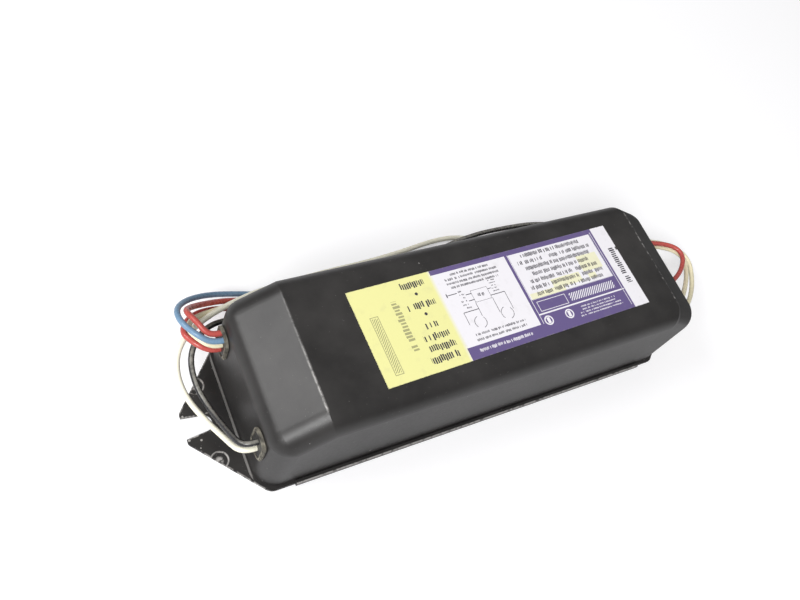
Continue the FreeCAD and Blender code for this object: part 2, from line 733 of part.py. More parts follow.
CELL_MIDDLE = "(%s + Sizes.sleeve_sheet + Sizes.capacitor_height / 2)" % FLOOR
CELL_START = "(Sizes.capacitor_start + Sizes.cover_sheet)"


def cell_section(grow):
    return ("(Sizes.capacitor_width / 2 + %s)" % grow, "(Sizes.capacitor_height / 2 + %s)" % grow,
            "Sizes.capacitor_corner + %s" % grow)


def make_capacitor():
    whole = "Sizes.capacitor_length"
    inside = "(%s - Sizes.cell_sheet)" % whole
    outer = ring_body("cell_outside", CELL_START, whole, CELL_MIDDLE, cell_section("0"))
    hollow = ring_body("cell_inside", CELL_START, inside, CELL_MIDDLE,
                       cell_section("(-Sizes.cell_sheet)"))
    roll = ring_body("roll_body", CELL_START, inside, CELL_MIDDLE,
                     cell_section("(-Sizes.cell_sheet - Sizes.cell_clearance)"))
    cover = ring_body("cover_body", "Sizes.capacitor_start", "Sizes.cover_sheet", CELL_MIDDLE,
                      cell_section("0"))
    sleeve = ring_body("sleeve_body", CELL_START, whole, CELL_MIDDLE,
                       cell_section("Sizes.sleeve_sheet"), cell_section("0"))
    tip = "Sizes.capacitor_start - Sizes.terminal_length"
    low = "%s - Sizes.terminal_width / 2" % CELL_MIDDLE
    blades = [keep(block("blade_" + name, tip,
                         "%sSizes.terminal_spacing / 2 - Sizes.terminal_sheet / 2" % sign, low,
                         "Sizes.terminal_length", "Sizes.terminal_sheet",
                         "Sizes.terminal_width"), "capacitor_terminal_" + name)
              for name, sign in (("front", "-"), ("back", ""))]
    # The compound stays out of the can, so its hollow counts as taken.
    return [hollow, keep(cut("cell_shell", outer, hollow), "capacitor_can"),
            keep(roll, "capacitor_roll"), keep(cover, "capacitor_cover"),
            keep(sleeve, "capacitor_sleeve")] + blades


def make_small_parts():
    across = Vector(0, 1, 0)
    gap = "(Sizes.terminal_spacing - Sizes.terminal_sheet)"
    x = "Sizes.capacitor_start - Sizes.terminal_length / 2"
    wire = rod("resistor_wires", x, "-%s / 2" % gap, CELL_MIDDLE, across,
               "Sizes.resistor_wire / 2", gap)
    barrel = rod("resistor_barrel", x, "-Sizes.resistor_length / 2", CELL_MIDDLE, across,
                 "Sizes.resistor_width / 2", "Sizes.resistor_length")
    top = ("(%s + Sizes.core_stack / 2 + Sizes.tube_sheet + Sizes.coil_build + Sizes.wrap_sheet)"
           % CORE_MIDDLE)
    protector = block("protector_case",
                      "%s + (Sizes.coil_length - Sizes.protector_length) / 2" % PRIMARY_START,
                      "-Sizes.protector_width / 2", top, "Sizes.protector_length",
                      "Sizes.protector_width", "Sizes.protector_height")
    left = "Sizes.core_start - Sizes.splice_end_gap"
    right = "%s + Sizes.capacitor_length + Sizes.splice_gap + Sizes.splice_width / 2" % CELL_START
    front, back = "-Sizes.splice_side - Sizes.splice_length", "Sizes.splice_side"
    splices, filled = [], {}
    for name, points in LEADS.items():
        end, near = points[0][0] > 0, points[0][1] < 0
        level = filled.get((end, near), 0)
        filled[(end, near)] = level + 1
        sleeve = rod(name + "_joint", right if end else left, front if near else back,
                     "Sizes.splice_low + %d * Sizes.splice_rise" % level, across,
                     "Sizes.splice_width / 2", "Sizes.splice_length")
        splices.append(keep(sleeve, name.replace("lead", "splice")))
    return [keep(fuse("resistor", [wire, barrel]), "bleed_resistor"),
            keep(protector, "thermal_protector")] + splices


# Wires

def route_wire(points, bend=None):
    """Straight runs joined by tangent arcs, and the radii of the arcs."""
    corners = [Vector(*p) for p in points]
    edges, radii = [], []
    here = corners[0]
    for before, corner, after in zip(corners, corners[1:], corners[2:]):
        back, ahead = before - corner, after - corner
        turn = math.pi - back.getAngle(ahead)
        half = math.tan(turn / 2)
        radius = bend or 0.45 * min(back.Length, ahead.Length) / half
        back.normalize()
        ahead.normalize()
        start, end = corner + back * radius * half, corner + ahead * radius * half
        inner = (back + ahead).normalize()
        middle = corner + inner * radius * (1 / math.cos(turn / 2) - 1)
        edges += [Part.LineSegment(here, start).toShape(), Part.Arc(start, middle, end).toShape()]
        radii.append(radius)
        here = end
    edges.append(Part.LineSegment(here, corners[-1]).toShape())
    return Part.Wire(edges), radii


def tube_along(points, radius, bend=None):
    """A solid round tube along a route, and the radii of its bends."""
    path, radii = route_wire(points, bend)
    start, second = Vector(*points[0]), Vector(*points[1])
    section = Part.Face(Part.Wire(Part.makeCircle(radius, start, second - start)))
    tube = path.makePipe(section)
    expected = math.pi * radius ** 2 * path.Length
    if not tube.isValid() or abs(tube.Volume - expected) > 0.01 * expected:
        raise RuntimeError("a tube does not follow its route")
    return tube, radii


def shape_feature(name, shape):
    feature = doc.addObject("Part::Feature", name)
    feature.Shape = shape
    return feature


def make_capacitor_wires():
    """One wire from each blade, over the end of the core, to the secondary winding."""
    start = amount("Sizes.capacitor_start - Sizes.terminal_length")
    face = amount("%s + Sizes.coil_length" % SECONDARY_START)
    rise_x = (start + amount(CORE_END)) / 2
    low = amount(CELL_MIDDLE)
    high = amount("%s + Sizes.core_stack / 2 + Sizes.tube_sheet + Sizes.coil_build / 2"
                  % CORE_MIDDLE)
    wires = []
    for name, y in (("front", -size("terminal_spacing") / 2),
                    ("back", size("terminal_spacing") / 2)):
        points = [(start, y, low), (rise_x, y, low), (rise_x, y, high), (face, y, high)]
        tube = tube_along(points, size("link_width") / 2, size("link_radius"))[0]
        wires.append(keep(shape_feature(name + "_link", tube), "capacitor_wire_" + name))
    return wires


def make_leads():
    for name, points in LEADS.items():
        tube, radii = tube_along(points, size("lead_width") / 2)
        print("%s: radii %s" % (name, ", ".join("%.1f" % r for r in radii)))
        keep(shape_feature(name + "_tube", tube), name)
        end = Vector(*points[-1])
        onward = (end - Vector(*points[-2])).normalize()
        tip = Part.makeCylinder(size("conductor_width") / 2, size("stripped_length"), end, onward)
        keep(shape_feature(name + "_tip", tip), name.replace("lead", "conductor"))


def make_compound(inner, plugs, held, holes):
    """The compound fills the can round everything that it holds, and the bushings' bores."""
    bushings = [thing for thing in NODES if thing.Label in EXITS]
    filled = fuse("compound_blank", [cut("compound_in_can", inner, fuse("sleeve_room", holes))]
                  + plugs)
    keep(cut("compound_solid", filled, fuse("held_parts", held + bushings)), "potting_compound")


def main():
    inner, holes, plugs = make_case_and_bushings()
    make_base_plate()
    make_label()
    held = [make_liner()] + make_core()
    held += make_winding("primary", PRIMARY_START)
    held += make_winding("secondary", SECONDARY_START)
    held += make_capacitor() + make_small_parts() + make_capacitor_wires()
    make_compound(inner, plugs, held, holes)
    make_leads()
    doc.recompute()
    for thing in doc.Objects:
        if "Invalid" in thing.State or "Error" in thing.State:
            raise RuntimeError(thing.Name + " failed")
    for node in NODES:
        if node.Shape.isNull() or not node.Shape.isValid():
            raise RuntimeError(node.Label + " has no valid shape")
    for node in NODES:
        node.Shape.exportStep("parts/%s.step" % node.Label)
        print("%-26s %10.1f mm3 %3d solids" % (node.Label, node.Shape.Volume,
                                               len(node.Shape.Solids)))


main()
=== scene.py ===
"""Looks of the fluorescent lamp ballast: enamelled can, printed label, leads and stage."""

import math

import bpy
from bpy.props import FloatProperty, FloatVectorProperty, IntProperty, PointerProperty
from mathutils import Matrix, Vector


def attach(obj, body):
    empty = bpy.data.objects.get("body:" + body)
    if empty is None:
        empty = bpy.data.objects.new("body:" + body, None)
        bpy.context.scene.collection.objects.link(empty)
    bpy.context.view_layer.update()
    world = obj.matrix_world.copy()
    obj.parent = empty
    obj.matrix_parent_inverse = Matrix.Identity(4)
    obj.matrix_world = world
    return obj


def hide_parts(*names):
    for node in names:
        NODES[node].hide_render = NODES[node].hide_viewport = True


bl_info = {
    "name": "Lamp Ballast Looks",
    "version": (1, 0, 0),
    "blender": (4, 5, 0),
    "location": "View3D > Sidebar > Ballast",
    "description": "Dresses the solids of a fluorescent lamp ballast",
    "category": "Object",
}

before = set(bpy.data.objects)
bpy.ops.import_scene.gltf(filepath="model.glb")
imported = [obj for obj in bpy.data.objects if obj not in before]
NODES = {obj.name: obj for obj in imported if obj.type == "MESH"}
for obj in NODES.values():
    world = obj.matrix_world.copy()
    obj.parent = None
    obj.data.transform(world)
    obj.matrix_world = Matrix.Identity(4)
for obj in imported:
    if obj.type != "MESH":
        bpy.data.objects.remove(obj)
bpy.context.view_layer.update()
MM = 0.001

# Routes of the leads in millimetres, from the bushing to the stripped end.
ROUTES = {
    "line_lead_black": (
        (-102.2, -20.2, 26.6), (-105.2, -20.2, 26.6), (-108.3, -18.2, 25.1),
        (-109.3, -12.6, 21.0), (-111.2, -0.8, 13.2), (-113.2, 10.5, 11.2), (-113.2, 20.0, 14.0),
        (-109.8, 27.0, 15.4), (-101.0, 34.8, 12.0), (-88.0, 37.6, 5.0), (-68.3, 36.0, 2.1),
        (-40.4, 37.7, 1.9), (-10.0, 44.0, 1.3), (16.0, 49.8, 1.9), (35.6, 52.1, 4.4),
        (57.9, 53.4, 1.6), (76.0, 52.4, 1.3), (90.0, 48.4, 1.3),
    ),
    "line_lead_white": (
        (-102.2, -20.9, 22.0), (-105.2, -20.9, 22.0), (-108.5, -19.0, 20.8),
        (-110.2, -13.6, 17.4), (-113.9, -2.6, 11.4), (-118.3, 9.0, 11.0), (-119.0, 19.5, 14.6),
        (-114.8, 27.7, 18.7), (-104.0, 34.2, 19.6), (-90.0, 40.5, 14.4), (-75.9, 45.4, 9.7),
        (-57.9, 49.6, 3.3), (-40.0, 51.4, 1.3), (-22.0, 51.6, 1.2), (-2.0, 53.0, 1.3),
        (13.0, 54.9, 1.3), (25.0, 54.9, 1.3), (34.5, 52.4, 1.2), (42.0, 49.2, 1.3),
    ),
    "lamp_lead_blue": (
        (-102.2, 19.4, 29.0), (-106.4, 19.4, 29.0), (-111.6, 23.6, 31.2), (-115.1, 30.1, 30.4),
        (-114.3, 37.5, 26.5), (-107.8, 43.4, 20.0), (-97.1, 47.5, 11.9), (-82.0, 48.6, 3.8),
        (-67.9, 45.6, 1.3), (-56.1, 44.6, 1.2),
    ),
    "lamp_lead_red_1": (
        (-102.2, 22.2, 29.6), (-104.8, 22.2, 29.6), (-107.6, 23.6, 30.3), (-109.9, 27.9, 32.2),
        (-111.8, 33.8, 29.6), (-109.6, 37.8, 24.1), (-101.6, 41.7, 16.5), (-90.0, 45.0, 8.2),
        (-75.1, 44.1, 2.8), (-57.9, 41.9, 1.3), (-45.9, 41.4, 1.3),
    ),
    "lamp_lead_red_2": (
        (-102.2, 20.0, 20.6), (-105.8, 20.0, 20.6), (-111.0, 23.9, 22.2), (-114.2, 30.3, 21.2),
        (-108.0, 38.2, 16.3), (-97.6, 41.8, 10.6), (-84.0, 41.6, 4.4), (-68.2, 39.4, 1.3),
        (-56.5, 39.2, 1.3),
    ),
    "lamp_lead_cream": (
        (-102.2, 19.6, 25.0), (-105.8, 19.6, 25.0), (-110.6, 24.2, 26.6), (-112.3, 30.4, 24.4),
        (-106.5, 36.1, 18.7), (-96.0, 39.2, 13.8), (-83.1, 43.1, 9.3), (-67.2, 46.2, 4.4),
        (-50.0, 47.1, 1.7), (-36.0, 47.0, 1.4),
    ),
    "lamp_lead_red_3": (
        (102.2, -19.4, 27.4), (106.4, -19.4, 27.4), (111.2, -14.8, 24.2), (113.1, -5.5, 20.0),
        (127.5, 0.0, 19.0), (136.4, 9.5, 18.2), (130.9, 16.8, 17.9), (113.3, 24.0, 13.6),
        (99.9, 35.2, 7.1), (83.7, 41.4, 2.7), (64.0, 43.4, 1.2), (59.0, 43.6, 1.3),
    ),
    "lamp_lead_cream_2": (
        (102.2, -21.6, 22.8), (106.6, -21.6, 22.8), (115.0, -19.0, 20.6), (127.0, -12.8, 16.2),
        (138.0, -3.4, 12.8), (143.0, 8.2, 13.4), (134.6, 17.4, 14.8), (121.6, 25.0, 11.6),
        (108.0, 36.4, 5.0), (90.0, 45.4, 1.4), (69.9, 48.5, 1.2), (60.0, 48.8, 1.3),
    ),
    "lamp_lead_cream_3": (
        (102.2, -18.8, 22.4), (106.4, -18.8, 22.4), (114.0, -15.2, 21.4), (124.6, -8.6, 17.8),
        (134.6, -0.4, 14.6), (138.8, 8.4, 15.0), (132.0, 15.5, 15.6), (119.2, 21.6, 12.4),
        (105.5, 32.9, 6.4), (88.5, 39.3, 1.2), (69.9, 39.3, 1.3), (60.0, 39.2, 1.3),
    ),
}
LEAD_COLOURS = {
    "black": (0.022, 0.022, 0.025),
    "white": (0.90, 0.87, 0.72),
    "blue": (0.17, 0.29, 0.43),
    "red": (0.50, 0.085, 0.070),
    "cream": (0.88, 0.81, 0.57),
}


# Chips in the enamel of the left tab, in millimetres: place and radius.
NICKS = ((-115.6, -6.1, 0.5), (-116.7, -9.0, 0.3), (-119.9, -4.9, 0.6), (-119.6, 4.9, 0.4))


# Sizes and colours that a user would change

class StageSizes(bpy.types.PropertyGroup):
    lamp_power: FloatProperty(name="Lamp power", description="Soft lamp over the back left",
                              default=8.0, min=0.0, unit="POWER")
    fill_power: FloatProperty(name="Fill power", description="Wide lamp over the left front",
                              default=21.0, min=0.0, unit="POWER")
    sky: FloatProperty(name="Sky", description="Strength of the even light all round",
                       default=0.40, min=0.0)
    lens: FloatProperty(name="Lens", description="Focal length for a 36 mm frame", default=35.105)
    eye: FloatVectorProperty(name="Eye", description="Place of the camera",
                             default=(-0.16841, -0.09209, 0.29138), subtype="TRANSLATION",
                             unit="LENGTH")
    azimuth: FloatProperty(name="Azimuth", default=-51.786,
                           description="Camera's side, in degrees, 0 looks along +Y")
    elevation: FloatProperty(name="Elevation", default=55.883,
                             description="Camera above the horizon, in degrees")
    roll: FloatProperty(name="Roll", default=32.354, description="Turn of the camera, in degrees")


class EnamelLooks(bpy.types.PropertyGroup):
    colour: FloatVectorProperty(name="Enamel", description="Colour of the baked enamel",
                                default=(0.020, 0.0185, 0.018), subtype="COLOR")
    # Bare steel and Wear also set the colour and strength of the painted highlights and sheen on
    # the can and the plate.
    bare: FloatVectorProperty(name="Bare steel", description="Steel where the enamel is gone",
                              default=(0.56, 0.54, 0.52), subtype="COLOR")
    wear: FloatProperty(name="Wear", description="How much enamel is gone from the edges",
                        default=1.0, min=0.0, max=2.0)
    dust: FloatProperty(name="Dust", description="How much dust lies on the top",
                        default=1.0, min=0.0, max=2.0)


class LabelLooks(bpy.types.PropertyGroup):
    yellow: FloatVectorProperty(name="Yellow", description="Left field and marker strokes",
                                default=(0.84, 0.82, 0.36), subtype="COLOR")
    purple: FloatVectorProperty(name="Purple", description="Bands and borders",
                                default=(0.135, 0.10, 0.25), subtype="COLOR")
    paper: FloatVectorProperty(name="White", description="Ground of the print",
                               default=(0.86, 0.84, 0.88), subtype="COLOR")
    ink: FloatVectorProperty(name="Ink", description="Dark print", default=(0.05, 0.045, 0.06),
                             subtype="COLOR")


class LeadSizes(bpy.types.PropertyGroup):
    width: FloatProperty(name="Lead", description="Width over the insulation", default=0.0023,
                         min=0.0005, unit="LENGTH")
    lobes: IntProperty(name="Roundness", description="Steps round a quarter of a lead", default=5,
                       min=2, max=12)


# Shader maths

class Signal:
    """A socket in a material's tree, with arithmetic that adds the nodes."""

    def __init__(self, tree, socket):
        self.tree, self.socket = tree, socket

    def node(self, kind, settings=None, out=0, **inputs):
        """Any node: its type, its settings, then the values or links of its inputs."""
        made = self.tree.nodes.new(kind)
        for name, value in (settings or {}).items():
            if name == "stops":
                set_stops(made.color_ramp, value)
            else:
                setattr(made, name, value)
        for name, value in inputs.items():
            index = int(name[1:]) if name[0] == "i" and name[1:].isdigit() else None
            target = made.inputs[index if index is not None else name.replace("_", " ")]
            plug(self.tree, target, value)
        return Signal(self.tree, made.outputs[out])

    def maths(self, operation, *values, clamp=False):
        inputs = {"i%d" % i: value for i, value in enumerate(values)}
        return self.node("ShaderNodeMath", {"operation": operation, "use_clamp": clamp}, **inputs)

    def __add__(self, other):
        return self.maths("ADD", self, other)

    def __radd__(self, other):
        return self.maths("ADD", other, self)

    def __sub__(self, other):
        return self.maths("SUBTRACT", self, other)

    def __rsub__(self, other):
        return self.maths("SUBTRACT", other, self)

    def __mul__(self, other):
        return self.maths("MULTIPLY", self, other)

    def __rmul__(self, other):
        return self.maths("MULTIPLY", other, self)

    def __pow__(self, other):
        return self.maths("POWER", self, other)

    def __truediv__(self, other):
        return self.maths("DIVIDE", self, other)

    def __lt__(self, other):
        return self.maths("LESS_THAN", self, other)

    def __gt__(self, other):
        return self.maths("GREATER_THAN", self, other)

    def size(self):
        return self.maths("ABSOLUTE", self)

    def root(self):
        return self.maths("SQRT", self)

    def whole(self):
        return self.maths("FLOOR", self)

    def fraction(self):
        return self.maths("FRACT", self)

    def highest(self, other):
        return self.maths("MAXIMUM", self, other)

    def lowest(self, other):
        return self.maths("MINIMUM", self, other)

    def ramp(self, low, high):
        """0 below low and 1 above high, with a straight rise."""
        return self.node("ShaderNodeMapRange", {"clamp": True}, i0=self, i1=low, i2=high)

    def blend(self, low, high):
        """One colour where this is 0 and another where it is 1."""
        return self.node("ShaderNodeMix", {"data_type": "RGBA"}, out=2, i0=self, i6=low, i7=high)

    def part(self, axis):
        """X, Y or Z of a vector."""
        return self.node("ShaderNodeSeparateXYZ", out="XYZ".index(axis), i0=self)

    def noise(self, scale, detail=3.0, roughness=0.55, out=0):
        return self.node("ShaderNodeTexNoise", out=out, Vector=self, Scale=scale, Detail=detail,
                         Roughness=roughness)

    def stretched(self, x, y, z):
        return self.node("ShaderNodeMapping", Vector=self, Scale=(x, y, z))


def set_stops(ramp, stops):
    """Give a colour ramp its steps, each kept up to the next one."""
    ramp.interpolation = "CONSTANT"
    while len(ramp.elements) > 1:
        ramp.elements.remove(ramp.elements[-1])
    for i, (place, colour) in enumerate(stops):
        element = ramp.elements[0] if i == 0 else ramp.elements.new(place)
        element.position = place
        element.color = tuple(colour) + (1.0,) * (4 - len(colour))


def plug(tree, target, value):
    """Link or set an input."""
    if isinstance(value, Signal):
        tree.links.new(value.socket, target)
    elif hasattr(target.default_value, "__len__"):
        value = tuple(value)
        target.default_value = value + (1.0,) * (len(target.default_value) - len(value))
    else:
        target.default_value = value


class Finish:
    """A new material with one Principled shader, whose sockets are set by name."""

    def __init__(self, name, **sockets):
        self.material = bpy.data.materials.new(name)
        self.material.use_nodes = True
        self.tree = self.material.node_tree
        self.shader = self.tree.nodes["Principled BSDF"]
        where = self.tree.nodes.new("ShaderNodeTexCoord")
        self.place = Signal(self.tree, where.outputs["Object"])
        self.set(**sockets)

    def set(self, **sockets):
        for name, value in sockets.items():
            plug(self.tree, self.shader.inputs[name.replace("_", " ")], value)
        return self

    def bump(self, height, distance, strength=1.0):
        bumped = self.place.node("ShaderNodeBump", Height=height, Distance=distance,
                                 Strength=strength)
        return self.set(Normal=bumped)


def dress(node, finish):
    """Give a CAD node's mesh a finish."""
    mesh = NODES[node].data
    mesh.materials.clear()
    mesh.materials.append(finish.material)


# Places on the steel that its wear and painted highlights follow, in metres.
CREASE = 0.0822
TOP = 0.0493
FOOT = 0.1021
PLATE_SIDE = 0.0334
TAB_TIP = 0.1206
SCREW = 0.113
NOTCH = 0.0036
MARK = (0.11158, 0.0156)
MARK_EDGE = 0.0033


# Finishes

def enamel(name, looks, edges):
    """Black baked enamel, with dust on what faces up, and bare steel and painted highlights in its
    colour where edges says.
    """
    finish = Finish(name)
    place = finish.place
    cloud = place.noise(55.0, 5.0)
    grain = place.noise(900.0, 2.0)
    fine = place.noise(2600.0, 3.0)
    up = place.node("ShaderNodeNewGeometry", out=1).part("Z")
    paint = cloud.ramp(0.3, 0.75).blend(tuple(c * 0.78 for c in looks.colour),
                                        tuple(c * 1.30 for c in looks.colour))
    haze = cloud.ramp(0.35, 0.85) * up.ramp(0.2, 1.0) * (0.05 * looks.dust)
    specks = place.noise(1400.0, 1.0).ramp(0.74, 0.80) * up.ramp(0.1, 0.9) * (0.32 * looks.dust)
    paint = haze.highest(specks).blend(paint, (0.30, 0.285, 0.27))
    # This mask is the wear and also the painted highlights and sheen that edges gives, all in
    # bare-steel colour.
    worn_and_highlit = (edges(place) * looks.wear).lowest(1.0)
    paint = worn_and_highlit.blend(paint, looks.bare)
    # The right end's panel has lost its gloss.
    dull = place.part("X").ramp(0.0815, 0.0835) * up.ramp(0.3, 0.6) * 0.36
    finish.set(Base_Color=paint, Metallic=worn_and_highlit * 0.5,
               Roughness=0.34 + grain * 0.10 - worn_and_highlit * 0.04 + dull, Specular_IOR_Level=0.5)
    return finish.bump(fine * 0.5 + grain * 0.5, 0.00004, 0.5)


def can_wear_and_highlights(place):
    """Lines of wear along the two creases, the left one brighter towards the front as a painted
    highlight, a painted highlight along the foot of each end, scratches and nicks on the can.
    """
    along, side, height = (place.part(axis) for axis in "XYZ")
    ragged = place.noise(420.0, 4.0)
    wobble = (place.noise(90.0, 2.0) - 0.5) * 0.0003
    left = (along + CREASE + wobble).size()
    right = (along - CREASE + wobble).size()
    on_top = height.ramp(TOP - 0.0013, TOP) * (1 - side.size().ramp(0.0225, 0.0245))
    # The left crease line is bared steel, made brighter towards the front as a painted highlight.
    front = 1 - side.ramp(-0.022, 0.010) * 0.80
    line = (1 - left.ramp(0.00014, 0.00060)) * ragged.ramp(0.30, 0.54) * front * 0.62
    faint = (1 - right.ramp(0.0001, 0.0006)) * ragged.ramp(0.50, 0.62) * 0.6
    # Painted highlight: a bright line of bare-steel colour along the foot of each end wall.
    foot_highlight = along.size().ramp(FOOT, FOOT + 0.0003) * (1 - height.ramp(0.0019, 0.0022)) * 0.42
    lines = (line.highest(faint) * on_top).highest(foot_highlight)
    scratch = place.stretched(1.0, 9.0, 1.0).noise(130.0, 6.0, 0.7).ramp(0.735, 0.765) * 0.5
    nicks = place.noise(520.0, 2.0).ramp(0.765, 0.79) * 0.7
    return lines.highest(scratch * on_top).highest(nicks)


def plate_wear_and_highlights(place):
    """Bright rims on the notches, the slanted edges and the pressed marks, a painted highlight in
    the middle of each mark, and painted sheen with some wear on the hems.
    """
    along, side, height = place.part("X"), place.part("Y").size(), place.part("Z")
    out = along.size()
    ragged = place.noise(500.0, 4.0)
    slant = (TAB_TIP - out) * 0.7589 - (side - 0.0063) * 0.6509
    rim = (1 - slant.size().ramp(0.0001, 0.0006)) * ragged.ramp(0.45, 0.58) * 0.8
    notch = (side - NOTCH - (out - SCREW).highest(0.0) * 0.12).size()
    lip = (1 - notch.ramp(0.0001, 0.0004)) * out.ramp(0.110, 0.1105) * ragged.ramp(0.45, 0.60)
    from_mark = ((out - MARK[0]) ** 2 + (side - MARK[1]) ** 2).root()
    ring = (1 - (from_mark - MARK_EDGE).size().ramp(0.0001, 0.0004)) * ragged.ramp(0.34, 0.50)
    # Painted highlight: a bright spot of bare-steel colour in the middle of each pressed mark.
    middle = (1 - from_mark.ramp(0.0008, 0.0018)) * ragged.ramp(0.44, 0.56)
    outside = side.ramp(PLATE_SIDE, PLATE_SIDE + 0.0004)
    # Painted sheen: the hem's outer side is lightened with bare-steel colour; its top edge is
    # partly wear and partly painted sheen.
    hem = height.ramp(0.0010, 0.0018) * outside * ragged.ramp(0.20, 0.50) * 0.30
    edge = height.ramp(0.0023, 0.0026) * outside * ragged.ramp(0.34, 0.52) * 0.95
    hem = hem.highest(edge)
    speck = place.noise(700.0, 2.0).ramp(0.74, 0.78) * 0.6
    worn_and_highlit = rim.highest(lip).highest(ring).highest(middle).highest(hem).highest(speck)
    for x, y, reach in NICKS:
        away = ((along - x * MM) ** 2 + (place.part("Y") - y * MM) ** 2).root()
        worn_and_highlit = worn_and_highlit.highest(1 - away.ramp(reach * 0.6 * MM, reach * MM))
    return worn_and_highlit


def plain(name, low, high, scale, roughness, height=0.0, metallic=0.0, stretch=(1, 1, 1)):
    """A finish that wanders between two colours."""
    finish = Finish(name, Metallic=metallic)
    pattern = finish.place.stretched(*stretch).noise(scale, 4.0)
    finish.set(Base_Color=pattern.ramp(0.3, 0.7).blend(low, high),
               Roughness=roughness + pattern * 0.12)
    return finish.bump(pattern, height) if height else finish


def insulation(colour_name):
    """Extruded insulation with a soft gloss and small scuffs."""
    colour = LEAD_COLOURS[colour_name]
    finish = Finish("insulation_" + colour_name, Specular_IOR_Level=0.5)
    scuff = finish.place.noise(700.0, 4.0)
    grime = finish.place.noise(160.0, 3.0).ramp(0.45, 0.75) * 0.25
    tint = tuple(c * 0.62 + 0.02 for c in colour)
    shade = grime.blend(colour, tint)
    if colour_name == "black":
        # The black lead is lighter along its upper side.
        up = finish.place.node("ShaderNodeNewGeometry", out=1).part("Z")
        streak = up.ramp(0.70, 0.97) * (scuff.ramp(0.30, 0.60) * 0.30 + 0.22)
        shade = streak.blend(shade, (0.5, 0.48, 0.42))
    finish.set(Base_Color=shade, Roughness=0.18 + scuff * 0.20)
    return finish.bump(scuff, 0.00004, 0.6)


# The label

# Length and width, middle on the top in metres, and turn in degrees
LABEL_SPAN = (0.1266, 0.0395)
LABEL_MIDDLE = (0.0042, -0.0014)
LABEL_TURN = 1.35


class Print:
    """Marks on the label. x runs from its left end and y from its back edge, both 0 to 1."""

    def __init__(self, finish):
        middle = (LABEL_MIDDLE[0], LABEL_MIDDLE[1], 0.0)
        turned = finish.place.node("ShaderNodeMapping", {"vector_type": "TEXTURE"},
                                   Vector=finish.place, Location=middle,
                                   Rotation=(0.0, 0.0, math.radians(LABEL_TURN)))
        self.x = turned.part("X") / LABEL_SPAN[0] + 0.5
        self.y = 0.5 - turned.part("Y") / LABEL_SPAN[1]

    def box(self, x0, x1, y0, y1):
        """1 inside a field."""
        mid_x, mid_y = (x0 + x1) / 2, (y0 + y1) / 2
        across = (self.x - mid_x).size() < (x1 - x0) / 2
        down = (self.y - mid_y).size() < (y1 - y0) / 2
        return across * down

    def frame(self, x0, x1, y0, y1, line):
        """1 on the outline of a field. The line is a share of the label's length."""
        tall = line * LABEL_SPAN[0] / LABEL_SPAN[1]
        hole = self.box(x0 + line, x1 - line, y0 + tall, y1 - tall)
        return self.box(x0, x1, y0, y1) * (1 - hole)

    def words(self, x0, x1, y0, y1, rows, seed, turned=False, letter=0.0085, fill=0.62,
              halves=None):
        """Rows of short uneven bars with gaps, in place of lettering.

        halves gives each row half its length, or chance sets it.
        """
        run, step = (self.y, self.x) if turned else (self.x, self.y)
        lo, hi, first, last = (y0, y1, x0, x1) if turned else (x0, x1, y0, y1)
        pitch = (last - first) / rows
        row = (step - first) / pitch
        line = row.whole()
        scale = LABEL_SPAN[0] / LABEL_SPAN[1] if turned else 1.0
        cell = (run - lo) / (letter * scale)
        index = cell.whole()
        pick = cell.node("ShaderNodeCombineXYZ", X=index, Y=line + seed, Z=float(seed))
        chance = pick.node("ShaderNodeTexWhiteNoise", {"noise_dimensions": "3D"}, Vector=pick)
        stroke = (cell - index - 0.5).size() < 0.22 + chance * 0.16
        uneven = (chance * 7.3).fraction()
        lean = (uneven - 0.5) * (fill * 0.22)
        within = (row - line - 0.5 + lean).size() < (chance * 0.35 + 0.65) * (fill / 2)
        middle = (lo + hi) / 2
        reach = (hi - lo) / 2
        if halves:
            stops = [(i / rows, (half / reach,) * 3) for i, half in enumerate(halves)]
            share = row.node("ShaderNodeValToRGB", {"stops": stops}, Fac=row / rows)
            inside = (run - middle).size() < share * reach
        else:
            ends = row.node("ShaderNodeCombineXYZ", X=line, Y=float(seed) + 7.0, Z=3.0)
            ragged = ends.node("ShaderNodeTexWhiteNoise", {"noise_dimensions": "3D"}, Vector=ends)
            inside = (run - middle).size() < ragged * (reach * 0.45) + reach * 0.55
        shown = chance > 0.17
        return stroke * within * shown * inside * self.box(x0, x1, y0, y1)

    def hatch(self, x0, x1, y0, y1, pitch):
        """Slanted stripes in a field."""
        step = (self.x + self.y * (LABEL_SPAN[1] / LABEL_SPAN[0])) / pitch
        return (step.fraction() < 0.5) * self.box(x0, x1, y0, y1)

    def offset(self, x, y):
        """How far a place on the label is from this one, in metres, along and across."""
        return (self.x - x) * LABEL_SPAN[0], (self.y - y) * LABEL_SPAN[1]

    def ring(self, x, y, radius, line, start):
        """A broken ring: two arcs of a round line."""
        dx, dy = self.offset(x, y)
        far = (dx * dx + dy * dy).root()
        turn = dx.maths("ARCTAN2", dy, dx) / (2 * math.pi) + start
        gap = (turn * 2).fraction() < 0.66
        return ((far - radius * LABEL_SPAN[0]).size() < line * LABEL_SPAN[0] / 2) * gap

    def spot(self, x, y, radius):
        """A round dot. The radius is a share of the label's length."""
        dx, dy = self.offset(x, y)
        return dx * dx + dy * dy < (radius * LABEL_SPAN[0]) ** 2


